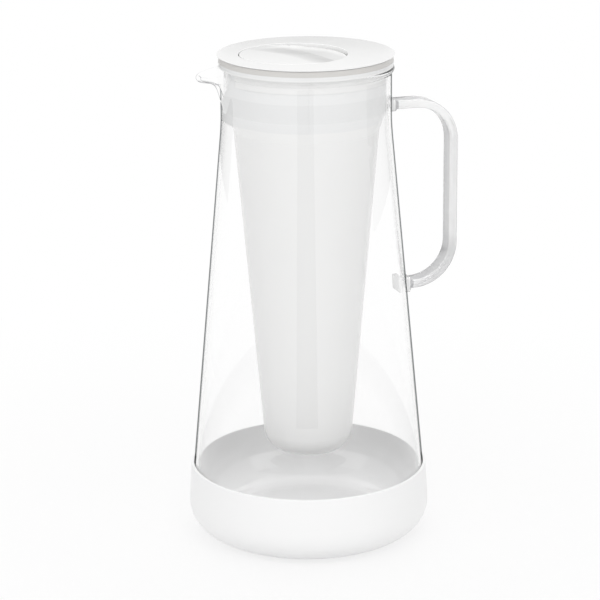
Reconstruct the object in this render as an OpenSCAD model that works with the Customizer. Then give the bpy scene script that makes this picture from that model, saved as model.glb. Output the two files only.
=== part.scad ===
// Water filter pitcher with a flip lid: glass jug on a silicone base, a lift-out
// hopper with a long filter housing, two filter cartridges and a lid with a rocking cap.
// The Z axis is the jug's own axis, the table is z = 0, +X points to the handle
// and -X points to the spout.

/* [Glass jug] */
// Height of the glass jug from its underside to the top of its rim
glass_h = 258.5; // [240:0.5:275]
// Outer radius of the neck
neck_r = 45.9; // [45.6:0.1:47]
// Length of the straight neck below the rim
neck_len = 31.5; // [30:0.5:40]
// Thickness of the glass wall
glass_wall = 2.2; // [1.8:0.1:2.6]
// Thickness of the glass floor
glass_floor = 3.2; // [2.6:0.1:6]
// Outer radius where the bottom corner meets the flank
flank_r = 64.6; // [60:0.1:72]
// Radius of the rounded bottom corner
corner_r = 24; // [16:0.5:28]
// Radius of the round bead on the rim
bead_r = 1.75; // [1.5:0.05:1.9]

/* [Spout] */
// How far the spout stands out from the neck
spout_out = 14.3; // [10:0.1:18]
// Radius of the rounded nose of the spout
spout_nose_r = 12.2; // [9:0.2:14]
// Height of the spout, from its root on the neck to the rim
spout_h = 23; // [18:0.5:26]
// How far the tip lies below the rim
spout_drop = 2.4; // [1.5:0.1:4]
// Thickness of the glass at the lip of the spout
lip_t = 1.3; // [1:0.1:1.8]

/* [Handle] */
// Distance from the jug's axis to the outer face of the grip
handle_reach = 85.6; // [80:0.2:100]
// Distance from the rim down to the top of the handle
handle_drop = 22.5; // [20:0.5:25]
// Height of the handle over its two bars
handle_h = 106.4; // [90:0.5:130]
// Thickness of the glass strip, measured away from the jug
handle_t = 4.8; // [4:0.1:6.5]
// Width of the glass strip
handle_w = 11.4; // [8:0.2:14]
// Outer radius of the upper bend
bend_top_r = 24; // [16:0.5:28]
// Outer radius of the lower bend
bend_low_r = 25; // [16:0.5:26]
// Radius of the strip's rounded edges
handle_edge_r = 1.3; // [0.8:0.1:1.8]
// Width of the pads where the handle is fused to the jug
pad_w = 12.6; // [11:0.2:16]
// Height of the upper pad
pad_top_h = 6.8; // [6:0.2:9]
// Height of the lower pad
pad_low_h = 8.8; // [7:0.2:12]
// How far the pads stand out from the jug before they narrow to the strip
pad_t = 3.4; // [1.5:0.1:4]

/* [Silicone base] */
// Height of the base
base_h = 40.2; // [32:0.2:50]
// Thickness of the silicone under the jug
base_floor = 5; // [3:0.2:8]
// Thickness of the lip at the top of the base
base_lip = 1.4; // [1:0.1:3]
// Thickness of the silicone round the widest part of the jug
base_wall = 1.9; // [1.5:0.1:6]
// Radius of the flat that stands on the table
base_flat_r = 41; // [34:0.5:48]
// Height of the rounded lower edge of the base
base_round_h = 19.8; // [14:0.2:26]

/* [Hopper] */
// How far the flange that hangs on the rim stands out past the neck
flange_over = 1; // [0.6:0.1:1.5]
// Thickness of the flange
flange_t = 1.6; // [1.2:0.1:2.4]
// Wall thickness of the hopper
hopper_wall = 1.8; // [1.4:0.1:2.2]
// Gap between the hopper and the inside of the neck
hopper_gap = 0.6; // [0.4:0.1:0.8]
// Length of the straight part of the hopper below the flange
hopper_len = 23.8; // [20:0.2:26]
// Height of the taper at the foot of the hopper
taper_h = 5.5; // [4:0.1:8]
// Thickness of the rim gasket between the flange and the glass
gasket_t = 0.8; // [0.6:0.1:1.4]
// Depth of the gasket's sleeve inside the neck
sleeve_h = 7; // [4:0.5:12]

/* [Filter housing] */
// How far the collar at the top of the housing stands back from the hopper's wall
collar_in = 1.9; // [1.2:0.1:2.6]
// Height of the tapered collar
collar_h = 6; // [5:0.1:8]
// How much narrower the collar is at its lower end
collar_flare = 2; // [1:0.1:2.4]
// Outer radius of the housing where its bottom corner begins
cone_low_r = 24.6; // [24:0.1:26]
// Length of the housing
housing_len = 188; // [184:0.5:194]
// Radius of the rounded corner at the bottom of the housing
housing_corner_r = 13; // [11:0.5:13]
// Wall thickness of the housing
housing_wall = 1.8; // [1.5:0.1:2]
// Depth of the socket that takes the hopper's spigot
socket_h = 9; // [7:0.2:12]
// Wall left round the socket, at the collar's lower end
socket_wall = 1.3; // [1:0.1:1.6]
// Height of the square ring that seals the socket
ring_h = 1.2; // [0.8:0.1:1.6]
// How far the outlet cap stands back from the rounded corner of the housing
outlet_in = 0.6; // [0.3:0.1:2]
// Width of the outlet cap's rim round its plug
outlet_rim = 2.5; // [1.5:0.1:4]
// Thickness of the outlet cap's rim
outlet_t = 1; // [0.8:0.1:1.4]
// Radius of the holes in the outlet cap
outlet_hole_r = 1.2; // [0.8:0.1:1.4]
// Spacing of those holes
outlet_pitch = 3.1; // [2.9:0.1:3.4]

/* [Membrane cartridge] */
// Clear height between the two cartridges
cartridge_gap = 4.2; // [2:0.1:8]
// Gap between the membrane case's lower end and the housing
membrane_gap = 2.2; // [1.4:0.1:3.5]
// Length of the case above its flange
membrane_above = 19; // [12:0.5:24]
// Length of the case below its flange
membrane_below = 80; // [74:0.5:81]
// Wall thickness of the cartridge cases
case_wall = 1.5; // [1.2:0.1:1.8]
// Thickness of the twist flanges
twist_t = 2.4; // [2:0.1:3]
// Thickness of the resin that holds the fibre ends
potting_h = 8; // [5:0.5:12]
// Free height above the fibres, under the grid
fibre_top_gap = 6; // [3:0.5:10]
// Gap between the fibres and the case
fibre_gap = 0.4; // [0.2:0.1:1]
// Thickness of the inlet grid
grid_t = 2.4; // [1.8:0.1:3]
// Radius of the holes in the inlet grid
grid_hole_r = 1.7; // [1.2:0.1:1.9]
// Spacing of those holes
grid_pitch = 6; // [5:0.1:6.5]
// Height of the finger bar on the cartridges
finger_bar_h = 7; // [4:0.5:9]
// Thickness of the finger bar
finger_bar_t = 3; // [2:0.1:4]
// Distance from the ends of the finger bar to the edge of its cartridge
finger_bar_in = 6; // [4:0.5:10]

/* [Carbon cartridge] */
// Height of the carbon cartridge's underside above the inside floor of the housing
carbon_clear = 7.6; // [7:0.1:12]
// Gap between the carbon case's lower end and the housing
carbon_gap = 1.1; // [0.9:0.1:2]
// Length of the case below its flange
carbon_below = 33; // [30:0.5:34]
// Thickness of the two mesh screens
screen_t = 0.8; // [0.5:0.1:1.2]
// Radius of the holes in the case's floor and lid
carbon_hole_r = 1.4; // [1:0.1:1.7]
// Spacing of those holes
carbon_pitch = 5; // [4.5:0.1:5.5]
// Height of the finger bar on its lid
carbon_bar_h = 3.6; // [2:0.1:4.4]

/* [Twist locks] */
// Angle that one lug of the housing covers
lug_deg = 22; // [14:1:28]
// How much wider a notch in a flange is than a lug
notch_play = 8; // [4:1:14]
// Radial depth of the seats and lugs
seat_w = 2; // [1.6:0.1:2.4]
// Thickness of the seat rings
seat_t = 2; // [1.5:0.1:3]
// Thickness of the lugs
lug_t = 2; // [1.5:0.1:3]
// Gap between the edge of a twist flange and the housing
flange_gap = 0.5; // [0.3:0.1:0.8]
// Thickness of the flat seal on the membrane cartridge's seat
seal_t = 1.2; // [0.8:0.1:1.6]
// Play between a twist flange and its seat, and under its lugs
twist_gap = 0.1; // [0.05:0.05:0.3]

/* [Lid] */
// How far the lid's top plate stands out past the hopper's flange
lid_over = 0.6; // [0.2:0.1:1.5]
// Thickness of the top plate
plate_t = 1.2; // [1:0.1:1.6]
// How far the side band stands back from the top plate's edge
band_in = 0.8; // [0.5:0.1:1.2]
// Wall thickness of the side band
band_wall = 2; // [1.5:0.1:3]
// Height of the side band
band_h = 2.9; // [2.6:0.1:3.6]
// Thickness of the band's floor
band_floor = 1.4; // [1:0.1:1.8]
// Depth of the skirt that enters the hopper
skirt_h = 17; // [14:0.5:20]
// Wall thickness of the skirt
skirt_t = 1.5; // [1.2:0.1:1.5]
// Gap between the skirt and the hopper
skirt_gap = 0.3; // [0.2:0.05:0.4]
// Height of the seal ring on the skirt
seal_h = 3; // [2:0.1:4]
// Depth of the seal ring's groove
groove_d = 0.6; // [0.4:0.1:0.8]
// Radius of the pegs that join the lid's two halves
peg_r = 1.5; // [1.2:0.1:1.8]

/* [Flip cap] */
// Radius of the cap
cap_r = 28.7; // [27:0.1:28.8]
// Gap around the cap
cap_gap = 0.4; // [0.3:0.05:0.6]
// Gap between the well round the cap and the skirt, on the spout side
well_gap = 0.2; // [0.2:0.1:2]
// Height of the cap at its edge
cap_h = 5.2; // [4.6:0.1:5.6]
// Wall thickness of the cap
cap_wall = 1.8; // [1.6:0.1:2]
// Depth of the finger dish at the edge of the cap
dish_d = 3.2; // [2:0.1:3.4]
// Radius of the ball that shapes the dish
dish_ball_r = 92; // [80:1:110]
// Distance from the cap's centre to the deepest point of the dish
dish_x = 24; // [20:0.5:27]
// Distance from the cap's centre to its pivot, towards the handle
pivot_x = 6; // [4:0.5:8]
// Distance from the top of the lid down to the pivot
pivot_z = 1.9; // [1.8:0.05:2.1]
// Radius of the pivot pins
pin_r = 0.95; // [0.8:0.05:1]
// Running gap between a pin and the cap
pin_gap = 0.06; // [0.04:0.01:0.1]
// Length of a pivot pin
pin_len = 5.4; // [4.6:0.1:5.8]
// Wall thickness of the well around the cap
well_wall = 3; // [2.8:0.1:3]
// Width of the ledge under the cap
ledge_w = 2.4; // [1.8:0.1:3]
// Thickness of the ledge
ledge_t = 1.4; // [1:0.1:1.8]
// Clearance between the turning cap and the ends of the ledge
ledge_gap = 0.8; // [0.5:0.1:2]
// Thickness of the cap's gasket
cap_gasket_t = 1; // [0.8:0.1:1.2]

/* [Hidden] */
$fn = 96;

// Small overrun that makes a cut pass clean through a face
eps = 0.5;

// Heights and radii of the jug
rim_z = base_floor + glass_h;
shoulder_z = rim_z - neck_len;
corner_x = flank_r - corner_r;
corner_z = base_floor + corner_r;
neck_in_r = neck_r - glass_wall;
bead_x = neck_in_r + bead_r;
bead_z = rim_z - bead_r;

// Handle
handle_top_z = rim_z - handle_drop;
handle_low_z = handle_top_z - handle_h;

// Hopper, from the rim upwards and then downwards
flange_r = neck_r + flange_over;
flange_z = rim_z + gasket_t;
flange_top = flange_z + flange_t;
hopper_r = neck_in_r - hopper_gap;
hopper_in_r = hopper_r - hopper_wall;
straight_z = flange_z - hopper_len;
housing_top = straight_z - taper_h;
ring_z = housing_top - socket_h;
sleeve_r = hopper_r + 0.75 * hopper_gap;

// Housing
collar_r = hopper_r - collar_in;
cone_top_r = collar_r - collar_flare;
spigot_r = cone_top_r - socket_wall;
housing_z = housing_top - housing_len;
housing_in_z = housing_z + housing_wall;
cone_z = housing_top - collar_h;
cone_low_z = housing_z + housing_corner_r;
cone_slope = (cone_top_r - cone_low_r) / (cone_z - cone_low_z);
housing_flat_r = cone_low_r - housing_corner_r;
outlet_r = housing_flat_r - outlet_in;
outlet_plug_r = outlet_r - outlet_rim;

// Inner radius of the housing at a height
function bore_at(z) = cone_low_r + cone_slope * (z - cone_low_z) - housing_wall;

// Carbon cartridge, from its underside to the seat that carries its twist flange
carbon_low = housing_in_z + carbon_clear;
carbon_r = bore_at(carbon_low) - carbon_gap;
carbon_flange_z = carbon_low + carbon_below;
carbon_flange_r = bore_at(carbon_flange_z) - flange_gap;
carbon_z = carbon_flange_z - twist_gap;
carbon_top = carbon_flange_z + twist_t;

// Membrane cartridge, above the carbon cartridge
membrane_low = carbon_top + case_wall + carbon_bar_h + cartridge_gap;
membrane_r = bore_at(membrane_low) - membrane_gap;
membrane_flange_z = membrane_low + membrane_below;
membrane_flange_r = bore_at(membrane_flange_z) - flange_gap;
membrane_z = membrane_flange_z - twist_gap - seal_t;
membrane_top = membrane_flange_z + twist_t + membrane_above;
notch_deg = lug_deg + notch_play;

// Lid
lid_r = flange_r + lid_over;
lid_z = flange_top;
band_top = lid_z + band_h;
lid_top = band_top + plate_t;
band_r = lid_r - band_in;
skirt_r = hopper_in_r - skirt_gap;
skirt_z = lid_z - skirt_h;
seal_z = lid_z - skirt_h / 2 - seal_h / 2;
seal_gap = 0.08;

// Cap
well_r = cap_r + cap_gap;
well_out_r = well_r + well_wall;
cap_shift = skirt_r - skirt_t - well_gap - well_out_r;
cap_z = lid_top - cap_h;
pin_z = lid_top - pivot_z;
pin_x = pivot_x - cap_shift;
ledge_x = pin_x - (cap_h - pivot_z) - ledge_gap;
pin_y = sqrt(cap_r * cap_r - pivot_x * pivot_x);
pin_start = pin_y - cap_wall - 1;
relief_r = sqrt(2) * pivot_z + cap_gap;
ledge_z = cap_z - cap_gasket_t - seal_gap;
well_z = ledge_z - ledge_t;
dish_z = lid_top - dish_d + dish_ball_r;

// Points of an arc, from angle a0 to a1
function arc(cx, cy, r, a0, a1, n = 12) =
    [for (i = [0:n]) let (a = a0 + (a1 - a0) * i / n) [cx + r * cos(a), cy + r * sin(a)]];

// Angle at which the bottom corner runs into the flank, for a surface t inside the outer one
function lean(t) =
    let (a = neck_r - t - corner_x, b = shoulder_z - corner_z)
    atan2(b, a) - acos((corner_r - t) / norm([a, b]));

// A ring round the Z axis
module ring(r_out, r_in, z, h) {
    translate([0, 0, z])
        difference() {
            cylinder(r = r_out, h = h);
            translate([0, 0, -eps]) cylinder(r = r_in, h = h + 2 * eps);
        }
}

// A sector of a ring, centred on angle a
module ring_sector(r_out, r_in, z, h, a, deg) {
    rotate([0, 0, a - deg / 2])
        translate([0, 0, z])
            rotate_extrude(angle = deg)
                translate([r_in, 0]) square([r_out - r_in, h]);
}

// Solid inside the jug's wall, t inside its outer surface, from z_floor up to z_top
module jug_solid(t, z_floor, z_top) {
    intersection() {
        rotate_extrude()
            polygon(concat([[0, corner_z - corner_r + t]],
                           arc(corner_x, corner_z, corner_r - t, -90, lean(t), 16),
                           [[neck_r - t, shoulder_z], [neck_r - t, z_top], [0, z_top]]));
        translate([0, 0, z_floor]) cylinder(r = 2 * flank_r, h = z_top - z_floor);
    }
}

// Round holes in rings, with 1, 6, 12 and so on holes
module hole_field(rings, pitch, r, z, h) {
    for (k = [0:rings])
        for (i = [0:max(0, 6 * k - 1)])
            rotate([0, 0, k == 0 ? 0 : i * 60 / k])
                translate([k * pitch, 0, z]) cylinder(r = r, h = h, $fn = 24);
}

// Spout: its share of the full reach and its nose radius, from the root (0) to the lip (1)
function spout_share(s) = 0.36 * s + 0.64 * pow(s, 8);
function spout_nose(s) = spout_nose_r * (0.72 + 0.28 * s);

// Cross-section of the spout at height z, t inside its outer surface
spout_turn = 76;
spout_steps = 14;
spout_root_x = 30;
function spout_section(s, t, z) =
    let (r = spout_nose(s) - t,
         c = neck_r - 0.3 + spout_out * spout_share(s) - spout_nose(s),
         side_x = c + r * cos(spout_turn),
         root_y = r * sin(spout_turn) + (side_x - spout_root_x) / tan(spout_turn))
    concat([[-spout_root_x, root_y, z]],
           [for (i = [0:spout_steps])
                let (a = spout_turn * (1 - 2 * i / spout_steps)) [-(c + r * cos(a)), r * sin(a), z]],
           [[-spout_root_x, -root_y, z]]);

// Solid of the spout, t inside its outer surface and raised by lift
spout_levels = 16;
module spout_solid(t, lift, z_end) {
    z_root = rim_z - spout_h;
    z_lip = rim_z - spout_drop - lip_t;
    per = spout_steps + 3;
    rows = concat([for (k = [0:spout_levels])
                       let (s = k / spout_levels)
                       spout_section(s, t, z_root + (z_lip - z_root) * s + lift)],
                  [spout_section(1, t, z_end)]);
    top = (len(rows) - 1) * per;
    sides = [for (k = [0:len(rows) - 2], i = [0:per - 1])
                 let (a = k * per + i, b = k * per + (i + 1) % per) [a, a + per, b + per, b]];
    polyhedron(points = [for (row = rows) for (p = row) p],
               faces = concat([for (f = sides) [f[0], f[1], f[2]]],
                              [for (f = sides) [f[0], f[2], f[3]]],
                              [[for (i = [0:per - 1]) i]],
                              [[for (i = [per - 1:-1:0]) top + i]]));
}

// Glass jug with its rim bead and pulled spout
module glass_body() {
    tip_x = neck_r - 0.3 + spout_out;
    tip_fall = atan(spout_drop / (tip_x - bead_x));
    color("white", 0.35)
        difference() {
            union() {
                jug_solid(0, base_floor, bead_z);
                rotate_extrude() translate([bead_x, bead_z]) circle(r = bead_r);
                spout_solid(0, 0, rim_z);
            }
            jug_solid(glass_wall, base_floor + glass_floor, rim_z + 2);
            spout_solid(glass_wall - 0.3, lip_t, rim_z + 4);
            translate([-bead_x, -2 * spout_nose_r, rim_z])
                rotate([0, -tip_fall, 0])
                    translate([-2 * spout_out, 0, 0]) cube([2 * spout_out, 4 * spout_nose_r, 2 * spout_out]);
        }
}

// Rectangle of x by y with corners of radius r, from plain squares and circles
module round_rect(x, y, r) {
    square([x - 2 * r, y], center = true);
    square([x, y - 2 * r], center = true);
    for (i = [-1, 1], j = [-1, 1])
        translate([i * (x / 2 - r), j * (y / 2 - r)]) circle(r = r, $fn = 32);
}

// Cross-section of the handle's strip, with x across its thickness
module strip_section() {
    round_rect(handle_t, handle_w, handle_edge_r);
}

// Straight bar along X from x1 inwards to x0, with its middle at height z and section h by w.
// The bars start a little inside the jug, which is then cut away from them.
bar_root = handle_t;
module strip_bar(x0, x1, z, h, w) {
    translate([x1, 0, z])
        rotate([0, -90, 0])
            linear_extrude(x1 - x0) round_rect(h, w, handle_edge_r);
}

// Quarter bend of the strip, whose outer radius is r, from +X round to +Z
module strip_bend(r) {
    rotate([90, 0, 0])
        rotate_extrude(angle = 90)
            translate([r - handle_t / 2, 0]) strip_section();
}

// Glass handle fused to the jug at two pads
module glass_handle() {
    top_z = handle_top_z - handle_t / 2;
    low_z = handle_low_z + handle_t / 2;
    low_r = neck_r + (flank_r - neck_r) * (shoulder_z - low_z) / (shoulder_z - corner_z);
    color("white", 0.45)
        difference() {
            union() {
                strip_bar(neck_r - bar_root, handle_reach - bend_top_r, top_z, handle_t, handle_w);
                translate([handle_reach - bend_top_r, 0, handle_top_z - bend_top_r]) strip_bend(bend_top_r);
                translate([handle_reach - handle_t / 2, 0, handle_low_z + bend_low_r])
                    linear_extrude(handle_h - bend_top_r - bend_low_r) strip_section();
                translate([handle_reach - bend_low_r, 0, handle_low_z + bend_low_r])
                    mirror([0, 0, 1]) strip_bend(bend_low_r);
                strip_bar(low_r - bar_root, handle_reach - bend_low_r, low_z, handle_t, handle_w);
                strip_bar(neck_r - bar_root, neck_r + pad_t, top_z, pad_top_h, pad_w);
                strip_bar(low_r - bar_root, low_r + pad_t, low_z, pad_low_h, pad_w);
            }
            jug_solid(0, base_floor, rim_z);
        }
}

// Outline of the lower edge of the base, a rounded curve between its flat and its side
base_curve = 2.4;
base_steps = 18;
base_r = flank_r + base_wall;
function base_edge(i) =
    let (a = 90 * i / base_steps)
    [base_flat_r + (base_r - base_flat_r) * pow(sin(a), 2 / base_curve),
     base_round_h - base_round_h * pow(cos(a), 2 / base_curve)];

// Silicone base that the jug stands in
module silicone_base() {
    lip_out = corner_x + corner_r * cos(lean(0)) + base_lip
              - (base_h - corner_z - corner_r * sin(lean(0))) * tan(lean(0));
    color("white")
        difference() {
            rotate_extrude()
                polygon(concat([[0, 0]],
                               [for (i = [0:base_steps]) base_edge(i)],
                               arc(lip_out - base_lip / 2, base_h - base_lip / 2, base_lip / 2, 0, 90, 4),
                               [[0, base_h]]));
            jug_solid(0, base_floor, rim_z);
        }
}

// Hopper: flange, straight wall, taper and the spigot that enters the housing
module hopper() {
    spigot_in = spigot_r - hopper_wall;
    color("white", 0.8)
        rotate_extrude()
            polygon([[hopper_in_r, flange_top], [flange_r, flange_top], [flange_r, flange_z],
                     [hopper_r, flange_z], [hopper_r, straight_z], [collar_r, housing_top],
                     [spigot_r, housing_top], [spigot_r, ring_z + ring_h], [spigot_in, ring_z + ring_h],
                     [spigot_in, housing_top], [hopper_in_r, straight_z + hopper_wall]]);
}

// Soft gasket between the flange and the rim, with a sleeve inside the neck that leaves the spout open
module rim_gasket() {
    color("lightgray")
        difference() {
            rotate_extrude()
                polygon([[hopper_r, flange_z], [flange_r, flange_z], [flange_r, rim_z], [sleeve_r, rim_z],
                         [sleeve_r, rim_z - sleeve_h], [hopper_r, rim_z - sleeve_h]]);
            translate([-neck_r, -spout_nose_r, rim_z - sleeve_h - eps])
                cube([neck_r, 2 * spout_nose_r, sleeve_h + eps]);
        }
}

// Seat ring and three lugs of one cartridge, cut off at the housing's wall
module twist_seat(seat_z, lug_z) {
    intersection() {
        union() {
            ring(bore_at(seat_z) + 1, bore_at(seat_z) - seat_w, seat_z - seat_t, seat_t);
            for (a = [0, 120, 240])
                ring_sector(bore_at(lug_z) + 1, bore_at(lug_z) - seat_w, lug_z, lug_t, a, lug_deg);
        }
        housing_shape(housing_wall / 2);
    }
}

// Solid of the housing's outer shape, t inside its outer surface
module housing_shape(t) {
    rotate_extrude()
        polygon(concat([[0, housing_z + t]],
                       arc(housing_flat_r, cone_low_z, housing_corner_r - t, -90, 0, 12),
                       [[cone_top_r - t, cone_z], [collar_r - t, housing_top], [0, housing_top]]));
}

// Long housing that holds both cartridges
module filter_housing() {
    color("white", 0.8) {
        difference() {
            housing_shape(0);
            intersection() {
                housing_shape(housing_wall);
                cylinder(r = flank_r, h = ring_z);
            }
            translate([0, 0, ring_z]) cylinder(r = spigot_r, h = socket_h + eps);
            translate([0, 0, housing_z - eps]) cylinder(r = outlet_plug_r, h = housing_wall + 2 * eps);
        }
        twist_seat(membrane_z, membrane_flange_z + twist_t + twist_gap);
        twist_seat(carbon_z, carbon_flange_z + twist_t + twist_gap);
    }
}

// Square ring that seals the hopper's spigot in the housing
module housing_seal() {
    color("dimgray") ring(spigot_r, spigot_r - hopper_wall, ring_z, ring_h);
}

// Cap with drain holes that closes the bottom of the housing
module outlet_cap() {
    color("gainsboro")
        difference() {
            union() {
                translate([0, 0, housing_z - outlet_t]) cylinder(r = outlet_r, h = outlet_t);
                translate([0, 0, housing_z]) cylinder(r = outlet_plug_r, h = housing_wall + outlet_t / 2);
            }
            hole_field(2, outlet_pitch, outlet_hole_r,
                       housing_z - outlet_t - eps, 2 * outlet_t + housing_wall + 2 * eps);
        }
}

// Flat seal on the membrane cartridge's seat
module membrane_seal() {
    color("dimgray") ring(bore_at(membrane_z) - twist_gap, bore_at(membrane_z) - seat_w, membrane_z, seal_t);
}

// Twist flange with three notches between its locking faces
module twist_flange(r, z) {
    difference() {
        translate([0, 0, z]) cylinder(r = r, h = twist_t);
        for (a = [60, 180, 300])
            ring_sector(r + seat_w, r - seat_w - flange_gap, z - eps, twist_t + 2 * eps, a, notch_deg);
    }
}

// Case of the membrane cartridge, open at both ends
module membrane_case() {
    color("lightsteelblue")
        difference() {
            union() {
                twist_flange(membrane_flange_r, membrane_flange_z);
                translate([0, 0, membrane_low]) cylinder(r = membrane_r, h = membrane_top - membrane_low);
            }
            translate([0, 0, membrane_low - eps])
                cylinder(r = membrane_r - case_wall, h = membrane_top - membrane_low + 2 * eps);
        }
}

// Bundle of hollow fibres inside the case
module membrane_fibres() {
    color("ivory")
        translate([0, 0, membrane_low + potting_h])
            cylinder(r = membrane_r - case_wall - fibre_gap,
                     h = membrane_top - membrane_low - potting_h - fibre_top_gap);
}

// Resin disc that holds the open ends of the fibres
module membrane_potting() {
    color("tan")
        translate([0, 0, membrane_low]) cylinder(r = membrane_r - case_wall, h = potting_h);
}

// Finger bar of height h across a cartridge of radius r, standing on a face at height z
module finger_bar(r, z, h) {
    translate([finger_bar_in - r, -finger_bar_t / 2, z - eps])
        cube([2 * (r - finger_bar_in), finger_bar_t, h + eps]);
}

// Inlet grid on top of the membrane cartridge, with a finger bar
module membrane_grid() {
    color("lightsteelblue") {
        difference() {
            translate([0, 0, membrane_top]) cylinder(r = membrane_r, h = grid_t);
            hole_field(3, grid_pitch, grid_hole_r, membrane_top - eps, grid_t + 2 * eps);
        }
        finger_bar(membrane_r, membrane_top + grid_t, finger_bar_h);
    }
}

// Tub of the carbon cartridge
module carbon_case() {
    color("gray")
        difference() {
            union() {
                twist_flange(carbon_flange_r, carbon_flange_z);
                translate([0, 0, carbon_low]) cylinder(r = carbon_r, h = carbon_top - carbon_low);
            }
            translate([0, 0, carbon_low + case_wall])
                cylinder(r = carbon_r - case_wall, h = carbon_top - carbon_low);
            hole_field(3, carbon_pitch, carbon_hole_r, carbon_low - eps, case_wall + 2 * eps);
        }
}

// Two mesh screens that keep the media in
module carbon_screens() {
    color("white") {
        for (z = [carbon_low + case_wall, carbon_top - screen_t])
            translate([0, 0, z]) cylinder(r = carbon_r - case_wall, h = screen_t);
    }
}

// Bed of activated carbon and ion exchange beads
module carbon_media() {
    color("#2b2b2b")
        translate([0, 0, carbon_low + case_wall + screen_t])
            cylinder(r = carbon_r - case_wall, h = carbon_top - carbon_low - case_wall - 2 * screen_t);
}

// Vented lid of the carbon cartridge, with a finger bar
module carbon_lid() {
    color("gray") {
        difference() {
            translate([0, 0, carbon_top]) cylinder(r = carbon_r, h = case_wall);
            hole_field(3, carbon_pitch, carbon_hole_r, carbon_top - eps, case_wall + 2 * eps);
        }
        finger_bar(carbon_r, carbon_top + case_wall, carbon_bar_h);
    }
}

// Places of the pegs between the lid's two halves
module at_pegs() {
    peg_place_r = (skirt_r + band_r) / 2;
    for (a = [45:90:315])
        rotate([0, 0, a]) translate([peg_place_r - 1, 0, 0]) children();
}

// Bores for the two pivot pins, of radius r, between y0 and y1
module pin_bores(r, y0, y1) {
    for (side = [0, 180])
        translate([pin_x, 0, pin_z])
            rotate([0, 0, side])
                translate([0, y0, 0])
                    rotate([-90, 0, 0]) cylinder(r = r, h = y1 - y0, $fn = 32);
}

// Top plate of the lid with the round well for the cap, eased at the pins for the turning cap
module lid_cover() {
    color("white")
        difference() {
            union() {
                translate([0, 0, band_top]) cylinder(r = lid_r, h = plate_t);
                translate([-cap_shift, 0, well_z]) cylinder(r = well_out_r, h = band_top + eps - well_z);
                at_pegs() translate([0, 0, lid_z]) cylinder(r = peg_r, h = band_h + eps, $fn = 32);
            }
            translate([-cap_shift, 0, ledge_z]) cylinder(r = well_r, h = lid_top);
            translate([-cap_shift, 0, well_z - eps]) cylinder(r = well_r - ledge_w, h = lid_top);
            intersection() {
                translate([-cap_shift, 0, well_z - eps]) cylinder(r = well_r, h = lid_top);
                translate([ledge_x, -lid_r, well_z - eps]) cube([2 * lid_r, 2 * lid_r, lid_top]);
            }
            pin_bores(pin_r, pin_start, pin_start + pin_len);
            pin_bores(relief_r, 0, cap_r);
        }
}

// Lower half of the lid: side band, floor and the skirt that enters the hopper
module lid_base() {
    color("gainsboro")
        difference() {
            union() {
                ring(band_r, band_r - band_wall, lid_z, band_h);
                translate([0, 0, lid_z]) cylinder(r = band_r, h = band_floor);
                translate([0, 0, skirt_z]) cylinder(r = skirt_r, h = skirt_h + eps);
            }
            translate([0, 0, skirt_z - eps]) cylinder(r = skirt_r - skirt_t, h = skirt_h + eps);
            translate([-cap_shift, 0, skirt_z]) cylinder(r = well_out_r, h = 2 * skirt_h);
            ring(skirt_r + 1, skirt_r - groove_d, seal_z, seal_h);
            at_pegs() translate([0, 0, lid_z - eps]) cylinder(r = peg_r, h = band_h + 2 * eps, $fn = 32);
        }
}

// Seal ring in the skirt's groove
module lid_seal() {
    color("lightgray") ring(hopper_in_r - seal_gap, skirt_r - groove_d, seal_z, seal_h);
}

// Soft strip on the ledge that the cap closes on
module cap_gasket() {
    color("lightgray")
        difference() {
            translate([-cap_shift, 0, 0]) ring(well_r, well_r - ledge_w, ledge_z, cap_gasket_t);
            translate([ledge_x, -lid_r, ledge_z - eps]) cube([2 * lid_r, 2 * lid_r, cap_gasket_t + 2 * eps]);
        }
}

// The two pins that the cap turns on
module hinge_pins() {
    color("silver") pin_bores(pin_r, pin_start, pin_start + pin_len);
}

// Round cap with a finger dish towards the handle and a hollow underside
module flip_cap() {
    color("white")
        difference() {
            translate([-cap_shift, 0, cap_z]) cylinder(r = cap_r, h = cap_h);
            translate([dish_x - cap_shift, 0, dish_z]) sphere(r = dish_ball_r, $fn = 192);
            difference() {
                translate([-cap_shift, 0, cap_z - eps])
                    cylinder(r = cap_r - cap_wall, h = cap_h - cap_wall + eps);
                translate([dish_x - cap_shift, 0, dish_z]) sphere(r = dish_ball_r + cap_wall, $fn = 192);
            }
            pin_bores(pin_r + pin_gap, pin_start - 0.3, cap_r + 1);
        }
}

glass_body();
glass_handle();
silicone_base();
hopper();
rim_gasket();
filter_housing();
housing_seal();
outlet_cap();
membrane_seal();
membrane_case();
membrane_fibres();
membrane_potting();
membrane_grid();
carbon_case();
carbon_screens();
carbon_media();
carbon_lid();
lid_cover();
lid_base();
lid_seal();
cap_gasket();
hinge_pins();
flip_cap();
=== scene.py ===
import math

import bpy
import numpy as np
from mathutils import Matrix, Vector


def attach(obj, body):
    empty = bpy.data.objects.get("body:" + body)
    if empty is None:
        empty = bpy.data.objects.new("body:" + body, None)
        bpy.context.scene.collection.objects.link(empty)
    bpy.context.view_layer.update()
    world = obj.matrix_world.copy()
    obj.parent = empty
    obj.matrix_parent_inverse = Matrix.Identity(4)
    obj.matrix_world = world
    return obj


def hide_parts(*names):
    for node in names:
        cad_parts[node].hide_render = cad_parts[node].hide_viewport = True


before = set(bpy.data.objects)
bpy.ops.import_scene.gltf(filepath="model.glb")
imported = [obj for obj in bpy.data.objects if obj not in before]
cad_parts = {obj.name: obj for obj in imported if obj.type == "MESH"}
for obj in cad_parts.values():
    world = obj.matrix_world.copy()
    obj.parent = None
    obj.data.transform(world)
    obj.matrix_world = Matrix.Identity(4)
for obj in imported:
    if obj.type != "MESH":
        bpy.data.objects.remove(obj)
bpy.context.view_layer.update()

MM = 0.001

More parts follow.
